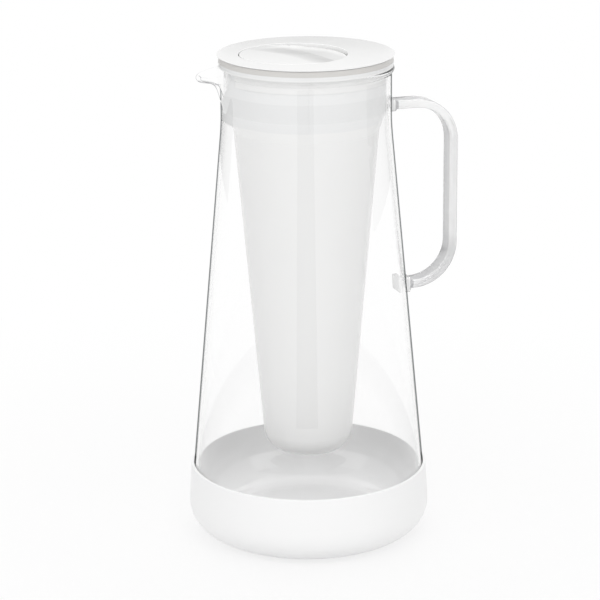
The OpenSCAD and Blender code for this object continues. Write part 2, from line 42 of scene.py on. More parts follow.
# Sizes, in millimetres
BASE_FLOOR = 5.0
RIM_Z = 263.5
NECK_R = 45.9
NECK_LEN = 31.5
WALL = 2.2
GLASS_FLOOR = 3.2
FLANK_R = 64.6
CORNER_R = 24.0
BEAD_R = 1.75
SHOULDER_Z = RIM_Z - NECK_LEN
NECK_IN_R = NECK_R - WALL

SPOUT_OUT = 14.3
SPOUT_NOSE_R = 12.2
SPOUT_H = 23.0
SPOUT_DROP = 2.4
SPOUT_TURN = math.radians(76)
SPOUT_THIN = 1.7

HANDLE_REACH = 85.6
HANDLE_TOP = RIM_Z - 22.5
HANDLE_H = 106.4
HANDLE_T = 4.8
HANDLE_W = 11.4
PAD_W = 12.6
PAD_T = 3.4
PAD_TOP_H = 6.6
PAD_LOW_H = 8.6
BEND_TOP_R = 24.0
BEND_LOW_R = 25.0
HANDLE_EDGE_R = 1.5
EDGE_STEPS = 6
PAD_STEPS = 26

BASE_H = 40.2
BASE_R = 66.5
BASE_FLAT_R = 41.0
BASE_ROUND_H = 19.8
BASE_CURVE = 2.4
BASE_LIP = 1.4
BASE_GAP = 0.12

LID_Z = 265.9
BAND_TOP = LID_Z + 2.9
LID_TOP = BAND_TOP + 1.2
LID_R = 47.5
CAP_R = 28.7
WELL_R = CAP_R + 0.4
WELL_WALL = 3.0
CAP_SHIFT = 7.2
CAP_H = 5.2
CAP_WALL = 1.8
CAP_EDGE_R = 0.5
LEDGE_W = 2.4
LEDGE_Z = LID_TOP - CAP_H - 1.08
WELL_Z = LEDGE_Z - 1.4
PIN_X = 6.0 - CAP_SHIFT
LEDGE_X = PIN_X - 3.3 - 0.8
CROWN = 0.35

DISH_TURN = math.radians(14)
DISH_D = 1.35
DISH_START = -4.5
DISH_BEND = 0.42
DISH_CREASE = 11.5
DISH_FALL = 0.035
DISH_POWER = 1.6


# Mesh helpers
def new_object(name, verts, faces, sharp=40):
    """Mesh object from points in millimetres, smooth except at edges sharper than sharp degrees."""
    mesh = bpy.data.meshes.new(name)
    mesh.from_pydata([tuple(MM * c for c in v) for v in verts], [], faces)
    mesh.validate()
    mesh.polygons.foreach_set("use_smooth", [True] * len(mesh.polygons))
    mesh.set_sharp_from_angle(angle=math.radians(sharp))
    obj = bpy.data.objects.new(name, mesh)
    bpy.context.scene.collection.objects.link(obj)
    return obj


def dress(obj, body, slot, material, *nodes):
    """Material, body and the CAD nodes that the piece stands for; slot is not used."""
    obj.data.materials.clear()
    obj.data.materials.append(material)
    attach(obj, body)
    if nodes:
        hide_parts(*nodes)


def rounded(points, steps=5):
    """Path through (r, z, radius) corners, each one rounded, with a support point beside each fillet."""
    path = []
    n = len(points)
    for i, (x, z, rad) in enumerate(points):
        p = np.array([x, z], float)
        if rad == 0 or i in (0, n - 1):
            path.append(p)
            continue
        a = np.array(points[i - 1][:2], float) - p
        b = np.array(points[i + 1][:2], float) - p
        la, lb = np.linalg.norm(a), np.linalg.norm(b)
        a, b = a / la, b / lb
        half = math.acos(max(-1, min(1, float(a @ b)))) / 2
        cut = min(rad / math.tan(half), 0.48 * la, 0.48 * lb)
        rad = cut * math.tan(half)
        middle = p + (a + b) / np.linalg.norm(a + b) * rad / math.sin(half)
        start, end = p + a * cut, p + b * cut
        support = min(0.25 * cut, 0.4)
        path.append(start + a * support)
        v0, v1 = start - middle, end - middle
        turn = math.acos(max(-1, min(1, float(v0 @ v1) / rad ** 2)))
        for k in range(steps + 1):
            t = k / steps
            swing = math.sin((1 - t) * turn) * v0 + math.sin(t * turn) * v1
            path.append(middle + swing / math.sin(turn))
        path.append(end + b * support)
    return path


def loft(name, rings, seg=192, closed=False, sharp=40, warp=None):
    """Surface through rings (r, z, cx); radius 0 is a pole, and closed joins the last ring to the first."""
    verts, starts = [], []
    angles = np.linspace(0, 2 * math.pi, seg, endpoint=False)
    for ring in rings:
        r, z = ring[0], ring[1]
        cx = ring[2] if len(ring) > 2 else 0.0
        starts.append(len(verts))
        if r == 0:
            verts.append((cx, 0.0, z))
            continue
        verts += [(cx + r * math.cos(a), r * math.sin(a), z) for a in angles]
    faces = []
    pairs = list(zip(range(len(rings) - 1), range(1, len(rings))))
    if closed:
        pairs.append((len(rings) - 1, 0))
    for i, j in pairs:
        a, b = starts[i], starts[j]
        for k in range(seg):
            m = (k + 1) % seg
            if rings[i][0] == 0:
                faces.append((a, b + m, b + k))
            elif rings[j][0] == 0:
                faces.append((a + k, a + m, b))
            else:
                faces.append((a + k, a + m, b + m, b + k))
    if warp:
        verts = [warp(*v) for v in verts]
    return new_object(name, verts, faces, sharp)


# Material helpers
def material(name):
    """Empty node material with its output."""
    mat = bpy.data.materials.new(name)
    mat.use_nodes = True
    tree = mat.node_tree
    tree.nodes.clear()
    out = tree.nodes.new("ShaderNodeOutputMaterial")
    return mat, tree, out


def node(tree, kind, inputs=None, **settings):
    """New node with the values of its inputs and its settings."""
    n = tree.nodes.new(kind)
    for key, value in settings.items():
        setattr(n, key, value)
    for key, value in (inputs or {}).items():
        n.inputs[key].default_value = value
    return n


def object_noise(tree, scale, detail=3.0, stretch=(1, 1, 1)):
    """Noise in the part's own frame."""
    where = node(tree, "ShaderNodeTexCoord")
    mapping = node(tree, "ShaderNodeMapping")
    mapping.inputs["Scale"].default_value = stretch
    noise = node(tree, "ShaderNodeTexNoise", {"Scale": scale, "Detail": detail})
    tree.links.new(where.outputs["Object"], mapping.inputs["Vector"])
    tree.links.new(mapping.outputs["Vector"], noise.inputs["Vector"])
    return noise.outputs["Fac"]


def spread(tree, fac, low, high):
    """Maps a noise to a range of values."""
    ranged = node(tree, "ShaderNodeMapRange",
                  {"From Min": 0.3, "From Max": 0.7, "To Min": low, "To Max": high})
    tree.links.new(fac, ranged.inputs["Value"])
    return ranged.outputs["Result"]


def tones(tree, fac, dark, light):
    """Colour between two tones."""
    mix = node(tree, "ShaderNodeMix", data_type="RGBA")
    mix.inputs["A"].default_value = (*dark, 1)
    mix.inputs["B"].default_value = (*light, 1)
    tree.links.new(fac, mix.inputs["Factor"])
    return mix.outputs["Result"]


def add_bump(tree, shader, fac, strength, distance):
    """Fine relief from a noise."""
    bump = node(tree, "ShaderNodeBump", {"Strength": strength, "Distance": distance})
    tree.links.new(fac, bump.inputs["Height"])
    tree.links.new(bump.outputs["Normal"], shader.inputs["Normal"])


def formula(tree, operation, *terms):
    """Math node on sockets and numbers."""
    n = node(tree, "ShaderNodeMath", operation=operation)
    for socket, term in zip(n.inputs, terms):
        if isinstance(term, (int, float)):
            socket.default_value = term
        else:
            tree.links.new(term, socket)
    return n.outputs[0]


def step(tree, value, low, high):
    """Smooth step from 0 at low to 1 at high."""
    n = node(tree, "ShaderNodeMapRange", {"From Min": low, "From Max": high},
             interpolation_type="SMOOTHSTEP")
    tree.links.new(value, n.inputs["Value"])
    return n.outputs["Result"]


def position(tree):
    """Coordinates in the part's own frame, in metres."""
    where = node(tree, "ShaderNodeTexCoord")
    split = node(tree, "ShaderNodeSeparateXYZ")
    tree.links.new(where.outputs["Object"], split.inputs[0])
    return split.outputs


def blend(tree, fac, first, second):
    """Shader that goes from the first to the second as fac goes from 0 to 1."""
    mix = node(tree, "ShaderNodeMixShader")
    tree.links.new(fac, mix.inputs["Fac"])
    tree.links.new(first.outputs[0], mix.inputs[1])
    tree.links.new(second.outputs[0], mix.inputs[2])
    return mix


def plastic(name, colour, roughness, mottle=0.012, bump=0.05, grain=900, painted_light_bands=()):
    """Moulded plastic with faint mottle and fine orange peel; each step of painted light and shade is a (z,
    gain in tone above z).
    """
    mat, tree, out = material(name)
    shader = node(tree, "ShaderNodeBsdfPrincipled", {"IOR": 1.5})
    cloud = object_noise(tree, 35, 4)
    dark = tuple(c * (1 - mottle) for c in colour)
    light = tuple(min(1, c * (1 + mottle)) for c in colour)
    tone = tones(tree, cloud, dark, light)
    # Painted light and shade: the tone is scaled up or down in steps with height.
    if painted_light_bands:
        height = position(tree)["Z"]
        factor = 1.0
        for z, gain in painted_light_bands:
            above = step(tree, height, (z - 0.3) * MM, (z + 0.3) * MM)
            factor = formula(tree, "ADD", formula(tree, "MULTIPLY", above, gain), factor)
        scaled = node(tree, "ShaderNodeVectorMath", operation="SCALE")
        tree.links.new(tone, scaled.inputs[0])
        tree.links.new(factor, scaled.inputs["Scale"])
        tone = scaled.outputs[0]
    tree.links.new(tone, shader.inputs["Base Color"])
    tree.links.new(spread(tree, object_noise(tree, 60, 2), roughness * 0.85, roughness * 1.15),
                   shader.inputs["Roughness"])
    add_bump(tree, shader, object_noise(tree, grain, 2), bump, 0.0002)
    tree.links.new(shader.outputs[0], out.inputs["Surface"])
    return mat


def lets_light_in(tree, out, shader):
    """Rays from lamps and diffuse rays pass straight, so that what stands inside is lit."""
    path = node(tree, "ShaderNodeLightPath")
    straight = formula(tree, "MAXIMUM", path.outputs["Is Shadow Ray"], path.outputs["Is Diffuse Ray"])
    clear = node(tree, "ShaderNodeBsdfTransparent")
    tree.links.new(blend(tree, straight, shader, clear).outputs[0], out.inputs["Surface"])


def between(tree, value, low, high, soft):
    """1 between low and high, in millimetres, with soft ends."""
    return formula(tree, "MULTIPLY", step(tree, value, (low - soft) * MM, low * MM),
                   step(tree, value, (high + soft) * MM, high * MM))


def jug_masks(tree):
    """The jug's outer surface without the spout, its rim, and the spout with the way out behind it."""
    x, y, z = position(tree)
    square = formula(tree, "ADD", formula(tree, "MULTIPLY", x, x), formula(tree, "MULTIPLY", y, y))
    slope = (FLANK_R - NECK_R) / (SHOULDER_Z - BASE_FLOOR - CORNER_R)
    below = formula(tree, "MAXIMUM", formula(tree, "SUBTRACT", SHOULDER_Z * MM, z), 0.0)
    wall = formula(tree, "ADD", formula(tree, "MULTIPLY", below, slope), NECK_R * MM)
    out = formula(tree, "SUBTRACT", formula(tree, "SQRT", square), wall)
    outer = formula(tree, "MULTIPLY", step(tree, out, -1.3 * MM, -0.9 * MM),
                    step(tree, out, 1.6 * MM, 0.8 * MM))
    rim = step(tree, z, (RIM_Z - 1.8) * MM, (RIM_Z - 1.0) * MM)
    past = formula(tree, "MULTIPLY", step(tree, out, (SPOUT_THIN - 0.1) * MM, (SPOUT_THIN + 0.1) * MM),
                   step(tree, x, -28 * MM, -30 * MM))
    inside = node(tree, "ShaderNodeNewGeometry").outputs["Backfacing"]
    near = formula(tree, "MULTIPLY", step(tree, x, -12 * MM, -13 * MM),
                   step(tree, z, (RIM_Z - SPOUT_H - 6) * MM, (RIM_Z - SPOUT_H - 5) * MM))
    spout = formula(tree, "MAXIMUM", past, formula(tree, "MULTIPLY", near, inside))
    return outer, rim, spout


def glass(name, **settings):
    """Clear glass, with Layer Weight's facing, which is 1 where it is seen edge on."""
    mat, tree, out = material(name)
    shader = node(tree, "ShaderNodeBsdfPrincipled",
                  {"IOR": 1.47, "Roughness": 0.0, "Transmission Weight": 1.0})
    for key, value in settings.items():
        shader.inputs[key.replace("_", " ")].default_value = value
    facing = node(tree, "ShaderNodeLayerWeight", {"Blend": 0.5}).outputs["Facing"]
    add_bump(tree, shader, object_noise(tree, 18, 1, (1, 1, 0.35)), 0.004, 0.001)
    return mat, tree, out, shader, facing


def jug_glass():
    """Thin clear wall with a painted dark outline where it is seen edge on, in place of the dark
    surroundings that refraction shows, a painted grey rim, and a spout that doesn't bend light, painted
    grey where it is seen edge on.
    """
    clear, edge, painted_spout_edge = (1.0, 1.0, 1.0), (0.50, 0.51, 0.51), (0.55, 0.55, 0.56)
    mat, tree, out, shader, facing = glass("borosilicate_glass")
    outer, rim, spout = jug_masks(tree)
    # Painted shade: the glass is tinted grey along its rim.
    painted_rim_shade = tones(tree, formula(tree, "MULTIPLY", rim, 0.25), clear, edge)
    tree.links.new(painted_rim_shade, shader.inputs["Base Color"])
    # Painted shade: the see-through spout turns grey where it is seen edge on, in place of its refracted
    # outline.
    thin = node(tree, "ShaderNodeBsdfTransparent")
    tree.links.new(tones(tree, step(tree, facing, 0.72, 0.99), clear, painted_spout_edge), thin.inputs["Color"])
    # Painted shade: a grey see-through layer where the outer wall is seen edge on gives the dark outline.
    dark = node(tree, "ShaderNodeBsdfTransparent", {"Color": (*edge, 1)})
    painted_outline = formula(tree, "MULTIPLY", step(tree, facing, 0.80, 0.87), outer)
    lets_light_in(tree, out, blend(tree, painted_outline, blend(tree, spout, shader, thin), dark))
    return mat


def handle_glass():
    """Thick glass strip with dark joints at the pads, painted greyer on its narrow faces and painted darker
    on its lower bend: painted shade.
    """
    clear, edge = (0.95, 0.95, 0.95), (0.50, 0.50, 0.51)
    mat, tree, out, shader, facing = glass("handle_glass", Transmission_Weight=0.45, Roughness=0.08)
    x, _, z = position(tree)
    upper, lower = step(tree, z, 0.19, 0.20), step(tree, z, 0.20, 0.19)
    root = flank_r(HANDLE_TOP - HANDLE_H)
    top = formula(tree, "MULTIPLY", between(tree, x, NECK_R + 2.9, NECK_R + 4.6, 0.4), upper)
    low = formula(tree, "MULTIPLY", between(tree, x, root + 3.0, root + 4.8, 0.4), lower)
    # Painted shade: the lower bend is painted darker.
    bend = formula(tree, "MULTIPLY", between(tree, x, 66, 90, 8), step(tree, z, 0.170, 0.150))
    shade = formula(tree, "MAXIMUM", formula(tree, "MAXIMUM", top, low),
                    formula(tree, "MULTIPLY", bend, 0.35))
    # Painted shade: faces seen edge on are painted greyer.
    fac = formula(tree, "ADD", step(tree, facing, 0.30, 0.80), shade)
    fac = formula(tree, "MINIMUM", fac, 1.3)
    tree.links.new(tones(tree, fac, clear, edge), shader.inputs["Base Color"])
    lets_light_in(tree, out, shader)
    return mat


def flank_r(z):
    """Outer radius of the jug at a height on its flank."""
    low_z = BASE_FLOOR + CORNER_R
    return NECK_R + (FLANK_R - NECK_R) * (SHOULDER_Z - z) / (SHOULDER_Z - low_z)


mat_glass = jug_glass()
mat_handle = handle_glass()
mat_base = plastic("base_silicone", (0.97, 0.97, 0.97), 0.35, 0.006, 0.04, 700)
# Painted light and shade on the hopper: its tone is 7 % lower above 240.5 mm and 4.5 % higher again above
# 250.5 mm, where the lid's skirt stands behind the wall.
mat_hopper = plastic("hopper_plastic", (0.88, 0.885, 0.885), 0.20, 0.008, 0.03,
                     painted_light_bands=((240.5, -0.07), (250.5, 0.045)))
# Painted light on the housing: its tone is raised 5 % above 229 mm.
mat_housing = plastic("housing_plastic", (0.87, 0.87, 0.865), 0.22, 0.008, 0.03, painted_light_bands=((229, 0.05),))
mat_gasket = plastic("gasket_silicone", (0.88, 0.88, 0.875), 0.45)
mat_seal = plastic("seal_rubber", (0.10, 0.10, 0.105), 0.6)
mat_outlet = plastic("outlet_plastic", (0.70, 0.70, 0.69), 0.35)
mat_case = plastic("membrane_case_plastic", (0.40, 0.55, 0.70), 0.3)
mat_carbon_case = plastic("carbon_case_plastic", (0.17, 0.19, 0.21), 0.4)
mat_lid = plastic("lid_plastic", (0.90, 0.90, 0.895), 0.16, 0.005, 0.02)
mat_cap = plastic("cap_plastic", (0.90, 0.90, 0.895), 0.16, 0.005, 0.02)
mat_band = plastic("lid_band_plastic", (0.68, 0.665, 0.645), 0.38, 0.01, 0.05)


def layered(name, dark, light, scale, stretch, roughness, bump):
    """Fine structure made of stretched noise: fibres, resin, mesh or granules."""
    mat, tree, out = material(name)
    shader = node(tree, "ShaderNodeBsdfPrincipled", {"Roughness": roughness})
    fac = object_noise(tree, scale, 4, stretch)
    tree.links.new(tones(tree, spread(tree, fac, 0, 1), dark, light), shader.inputs["Base Color"])
    add_bump(tree, shader, fac, bump, 0.0006)
    tree.links.new(shader.outputs[0], out.inputs["Surface"])
    return mat


def brushed_steel():
    """Steel with fine lines along the pins."""
    mat, tree, out = material("pin_steel")
    shader = node(tree, "ShaderNodeBsdfPrincipled", {"Metallic": 1.0})
    lines = object_noise(tree, 400, 2, (1, 0.05, 1))
    tree.links.new(tones(tree, lines, (0.5, 0.5, 0.51), (0.66, 0.66, 0.67)), shader.inputs["Base Color"])
    tree.links.new(spread(tree, object_noise(tree, 900, 2), 0.22, 0.34), shader.inputs["Roughness"])
    tree.links.new(shader.outputs[0], out.inputs["Surface"])
    return mat


mat_fibre = layered("fibre_bundle", (0.62, 0.58, 0.48), (0.92, 0.90, 0.82), 900, (1, 1, 0.03), 0.6, 0.8)
mat_resin = layered("potting_resin", (0.50, 0.36, 0.18), (0.62, 0.48, 0.28), 120, (1, 1, 1), 0.3, 0.1)
mat_mesh = layered("mesh_screen", (0.55, 0.55, 0.53), (0.90, 0.90, 0.88), 1500, (1, 1, 1), 0.7, 0.5)
mat_carbon = layered("carbon_granules", (0.008, 0.008, 0.008), (0.06, 0.06, 0.06), 700, (1, 1, 1),
                     0.5, 1.0)
mat_steel = brushed_steel()

CAD_MATERIALS = {
    "hopper": mat_hopper, "rim_gasket": mat_gasket, "filter_housing": mat_housing, "housing_seal": mat_seal,
    "outlet_cap": mat_outlet, "membrane_seal": mat_seal, "membrane_case": mat_case,
    "membrane_grid": mat_case, "membrane_fibres": mat_fibre, "membrane_potting": mat_resin,
    "carbon_case": mat_carbon_case,
    "carbon_lid": mat_carbon_case, "carbon_screens": mat_mesh, "carbon_media": mat_carbon,
    "lid_base": mat_band, "lid_seal": mat_gasket, "cap_gasket": mat_gasket, "hinge_pins": mat_steel,
    "glass_body": mat_glass, "glass_handle": mat_handle, "silicone_base": mat_base, "lid_cover": mat_lid,
    "flip_cap": mat_cap,
}
for name, mat in CAD_MATERIALS.items():
    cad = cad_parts[name]
    cad.data.materials.clear()
    cad.data.materials.append(mat)


# Glass jug
def arc(cx, cz, rad, start, end, count):
    """Points (r, z) on a circle, between two angles in radians."""
    return [(cx + rad * math.cos(w), cz + rad * math.sin(w)) for w in np.linspace(start, end, count)]


def corner_arc(rad):
    """Round bottom corner of the jug at a radius, up to where it meets the leaning flank, and that lean."""
    cx, cz = FLANK_R - CORNER_R, BASE_FLOOR + CORNER_R
    a, b = NECK_R - cx, SHOULDER_Z - cz
    lean = math.atan2(b, a) - math.acos(CORNER_R / math.hypot(a, b))
    return arc(cx, cz, rad, -math.pi / 2, lean, 20), lean


def jug_profile():
    """Closed half section of the glass, from the outside of the bottom round the rim to the inside."""
    def side(t, rad):
        corner, _ = corner_arc(rad)
        low = corner[-1]
        neck = NECK_R - t
        slope = (neck - low[0]) / (SHOULDER_Z - low[1])
        flank = [(low[0] + slope * (z - low[1]), z)
                 for z in np.linspace(low[1] + 0.5, SHOULDER_Z - 9, 24)]
        # The flank runs into the neck on a long soft curve
        shoulder = []
        z0, z1 = SHOULDER_Z - 7, SHOULDER_Z + 7
        x0 = low[0] + slope * (z0 - low[1])
        for u in np.linspace(0, 1, 10):
            x = (1 - u) ** 2 * x0 + 2 * u * (1 - u) * neck + u ** 2 * neck
            z = (1 - u) ** 2 * z0 + 2 * u * (1 - u) * SHOULDER_Z + u ** 2 * z1
            shoulder.append((x, z))
        top = [(neck, z) for z in np.linspace(z1 + 0.6, bead_low - 1.5, 46)]
        return corner + flank + shoulder + top

    bead_low = RIM_Z - 2 * BEAD_R
    floor_z = BASE_FLOOR + GLASS_FLOOR
    outer = side(0, CORNER_R)
    inner = side(WALL, CORNER_R - WALL)
    inner = [(x, max(z, floor_z)) for x, z in inner]
    rim = [(NECK_R, bead_low - 0.9), (NECK_R + 0.12, bead_low - 0.2)]
    rim += arc(NECK_IN_R + BEAD_R, RIM_Z - BEAD_R, BEAD_R, -1.1, math.pi + 0.25, 20)
    rim += [(NECK_IN_R, bead_low + 0.6), (NECK_IN_R, bead_low - 0.4)]
    start = [(0, BASE_FLOOR)] + [(r, BASE_FLOOR) for r in (8, 18, 28, 36)]
    end = [(r, floor_z) for r in (36, 28, 18, 8)] + [(0, floor_z)]
    inner_down = [p for p in inner[::-1] if not (p[1] == floor_z and p[0] < 40)]
    return start + outer + rim + inner_down + end


def spout_reach(phi, s, t):
    """Distance from the axis to the spout's wall, t inside its outer surface, at phi from the spout."""
    nose = SPOUT_NOSE_R * (0.72 + 0.28 * s)
    r = nose - t
    c = NECK_R - 0.3 + SPOUT_OUT * (0.36 * s + 0.64 * s ** 8) - nose
    phi = abs(phi)
    if phi > 1.2:
        return 0.0
    end_x, end_y = c + r * math.cos(SPOUT_TURN), r * math.sin(SPOUT_TURN)
    if phi < math.atan2(end_y, end_x):
        return c * math.cos(phi) + math.sqrt(max(0, r * r - (c * math.sin(phi)) ** 2))
    k = 1 / math.tan(SPOUT_TURN)
    return (end_y + end_x * k) / (math.sin(phi) + math.cos(phi) * k)


def spout_warp(x, y, z):
    """Pulls the spout out of the neck."""
    root = RIM_Z - SPOUT_H
    if z < root - 2 or x > 0:
        return x, y, z
    r = math.hypot(x, y)
    phi = math.atan2(y, -x)
    s = min(1.0, max(0.0, (z - root) / (SPOUT_H - SPOUT_DROP - 1.3)))
    middle = NECK_R - WALL / 2
    target = spout_reach(phi, s, WALL / 2 - 0.1)
    soft = 1.6 * (0.2 + s)
    d = target - middle
    push = 0.5 * (d + math.sqrt(d * d + soft * soft)) if d > -12 * soft else 0.0
    push = max(0.0, push - 0.02 * soft)
    push *= min(1.0, max(0.0, (z - root + 2) / 4))
    share = min(1.0, push / SPOUT_OUT)
    new_r = middle + push + (r - middle) * (1 - 0.30 * share)
    fall = SPOUT_DROP * share * min(1.0, max(0.0, (z - RIM_Z + 9) / 9))
    return x * new_r / r, y * new_r / r, z - fall


jug = loft("jug_glass", jug_profile(), seg=320, warp=spout_warp, sharp=80)
dress(jug, "jug", "borosilicate_glass", mat_glass, "glass_body")


# Glass handle
def handle_path():
    """Points (x, z) along the middle of the handle, close together in the pads."""
    half = HANDLE_T / 2
    top = HANDLE_TOP - half
    low = HANDLE_TOP - HANDLE_H + half
    x_top = NECK_R - 0.35
    x_low = flank_r(low) - 0.75
    ax, az = HANDLE_REACH - BEND_TOP_R, HANDLE_TOP - BEND_TOP_R
    bx, bz = HANDLE_REACH - BEND_LOW_R, HANDLE_TOP - HANDLE_H + BEND_LOW_R
    along_top = np.concatenate([np.linspace(x_top, x_top + 5, PAD_STEPS),
                                np.linspace(x_top + 6, ax - 0.5, 5)])
    along_low = np.concatenate([np.linspace(bx - 0.4, x_low + 5.2, 3),
                                np.linspace(x_low + 5, x_low, PAD_STEPS)])
    pts = [(x, top) for x in along_top]
    pts += [(ax + (BEND_TOP_R - half) * math.sin(w), az + (BEND_TOP_R - half) * math.cos(w))
            for w in np.linspace(0, math.pi / 2, 28)]
    pts += [(HANDLE_REACH - half, z) for z in np.linspace(az - 2, bz + 2, 12)]
    pts += [(bx + (BEND_LOW_R - half) * math.cos(w), bz - (BEND_LOW_R - half) * math.sin(w))
            for w in np.linspace(0, math.pi / 2, 28)]
    return pts + [(x, low) for x in along_low]


def pad_share(x, root):
    """1 on the pad that is fused to the jug, 0 on the strip."""
    return min(1.0, max(0.0, (root + PAD_T + 0.6 - x) / 0.8))


def handle():
    """Strip of rounded section along its path, thicker and wider at the two pads."""
    pts = handle_path()
    verts, faces = [], []
    ring = 4 * (EDGE_STEPS + 1)
    for i, (x, z) in enumerate(pts):
        before, after = pts[max(0, i - 1)], pts[min(len(pts) - 1, i + 1)]
        d = Vector((after[0] - before[0], 0, after[1] - before[1])).normalized()
        out = Vector((-d.z, 0, d.x))  # across the strip's thickness
        top_pad = pad_share(x, NECK_R) if i < PAD_STEPS else 0.0
        low_pad = pad_share(x, flank_r(z)) if i >= len(pts) - PAD_STEPS else 0.0
        t = HANDLE_T + (PAD_TOP_H - HANDLE_T) * top_pad + (PAD_LOW_H - HANDLE_T) * low_pad
        w = HANDLE_W + (PAD_W - HANDLE_W) * max(top_pad, low_pad)
        for cu, cv, a0 in ((1, 1, 0), (-1, 1, 90), (-1, -1, 180), (1, -1, 270)):
            for k in range(EDGE_STEPS + 1):
                a = math.radians(a0 + 90 * k / EDGE_STEPS)
                u = cu * (t / 2 - HANDLE_EDGE_R) + HANDLE_EDGE_R * math.cos(a)
                v = cv * (w / 2 - HANDLE_EDGE_R) + HANDLE_EDGE_R * math.sin(a)
                p = Vector((x, 0, z)) + out * u + Vector((0, v, 0))
                verts.append(tuple(p))
    for i in range(len(pts) - 1):
        a, b = i * ring, (i + 1) * ring
        for k in range(ring):
            m = (k + 1) % ring
            faces.append((a + k, b + k, b + m, a + m))
    faces.append(tuple(range(ring)))
    faces.append(tuple(range((len(pts) - 1) * ring, len(pts) * ring))[::-1])
    return new_object("jug_handle", verts, faces, 50)


dress(handle(), "jug", "handle_glass", mat_handle, "glass_handle")


# Silicone base
def base_profile():
    """Half section of the cup, from under its middle round the lip and down the seat to its floor."""
    seat, lean = corner_arc(CORNER_R + BASE_GAP)
    low = seat[-1]
    slope = -math.tan(lean)
    top_in = low[0] + slope * (BASE_H - low[1])
    outer = []
    for i in range(31):
        w = math.pi / 2 * i / 30
        outer.append((BASE_FLAT_R + (BASE_R - BASE_FLAT_R) * math.sin(w) ** (2 / BASE_CURVE),
                      BASE_ROUND_H - BASE_ROUND_H * math.cos(w) ** (2 / BASE_CURVE)))
    top_out = top_in + BASE_LIP
    side = [(BASE_R + (top_out - BASE_R) * u, BASE_ROUND_H + (BASE_H - 1 - BASE_ROUND_H) * u)
            for u in np.linspace(0.08, 0.96, 10)]
    lip = arc(top_out - 0.6, BASE_H - 0.6, 0.6, 0, math.pi / 2, 6)
    lip += arc(top_in + 0.35, BASE_H - 0.35, 0.35, math.pi / 2, math.pi, 5)
    inner = [(low[0] + slope * (z - low[1]), z) for z in np.linspace(BASE_H - 1, low[1] + 0.5, 6)]
    floor = BASE_FLOOR - BASE_GAP
    flat = [(0, 0)] + [(r, 0) for r in (10, 25, 38)]
    return flat + outer + side + lip + inner + seat[::-1] + [(r, floor) for r in (30, 15)] + [(0, floor)]


base = loft("base_cup", base_profile(), seg=256, sharp=60)
dress(base, "jug", "base_silicone", mat_base, "silicone_base")


# Lid and cap
def crown(x, y, z):
    """The lid's top is slightly domed."""
    if z > LID_TOP - 0.75:
        z -= CROWN * min(1.0, math.hypot(x, y) / LID_R) ** 2
    return x, y, z


def lid_rings():
    """Closed section of the lid's plate and of the well, whose centre lies towards the spout."""
    outer = rounded([(44, BAND_TOP, 0), (LID_R - 0.7, BAND_TOP + 0.2, 0.1), (LID_R, BAND_TOP + 0.95, 0.1),
                     (LID_R, LID_TOP, 0.5), (44, LID_TOP, 0)])
    well = rounded([(WELL_R + 6, LID_TOP, 0), (WELL_R, LID_TOP, 0.35), (WELL_R, WELL_Z, 0.3),
                    (WELL_R + WELL_WALL, WELL_Z, 0.3), (WELL_R + WELL_WALL, BAND_TOP, 0)])
    rings = [(r, z, 0.0) for r, z in outer]
    rings += [(r, z, -CAP_SHIFT) for r, z in well]
    return rings


lid = loft("lid_plate", lid_rings(), seg=256, closed=True, sharp=50, warp=crown)


def half_ring(name, r_in, r_out, z0, z1, cx, x_cut, seg=64):
    """Part of a square ring round (cx, 0), on the spout side of x_cut."""
    verts, faces = [], []
    for i in range(seg + 1):
        for r, z in ((r_in, z0), (r_out, z0), (r_out, z1), (r_in, z1)):
            end = math.acos((x_cut - cx) / r)
            a = end + (2 * math.pi - 2 * end) * i / seg
            verts.append((cx + r * math.cos(a), r * math.sin(a), z))
    for i in range(seg):
        a, b = 4 * i, 4 * i + 4
        for k in range(4):
            faces.append((a + k, b + k, b + (k + 1) % 4, a + (k + 1) % 4))
    faces += [(0, 1, 2, 3), tuple(4 * seg + k for k in (3, 2, 1, 0))]
    return new_object(name, verts, faces)


ledge = half_ring("lid_ledge", WELL_R - LEDGE_W, WELL_R + 0.5, WELL_Z, LEDGE_Z, -CAP_SHIFT, LEDGE_X)
dress(lid, "lid", "lid_plastic", mat_lid, "lid_cover")
dress(ledge, "lid", "lid_plastic", mat_lid)


def dish(x, y):
    """Depth of the finger dish at a point from the cap's centre; it is shallower over the far pin."""
    u = x * math.cos(DISH_TURN) + y * math.sin(DISH_TURN)
    v = y * math.cos(DISH_TURN) - x * math.sin(DISH_TURN)
    start = DISH_START - DISH_BEND * 0.5 * (v + math.sqrt(v * v + 36))
    slope = DISH_D * max(0.0, (u - start) / (DISH_CREASE - start)) ** DISH_POWER
    floor = DISH_D + DISH_FALL * max(0.0, u - DISH_CREASE)
    soft = 0.04
    depth = 0.5 * (slope + floor - math.sqrt((slope - floor) ** 2 + soft * soft))
    rise = min(1.0, max(0.0, (v - 18) / 8))
    return max(0.0, depth) * (1 - 0.4 * rise * rise * (3 - 2 * rise))


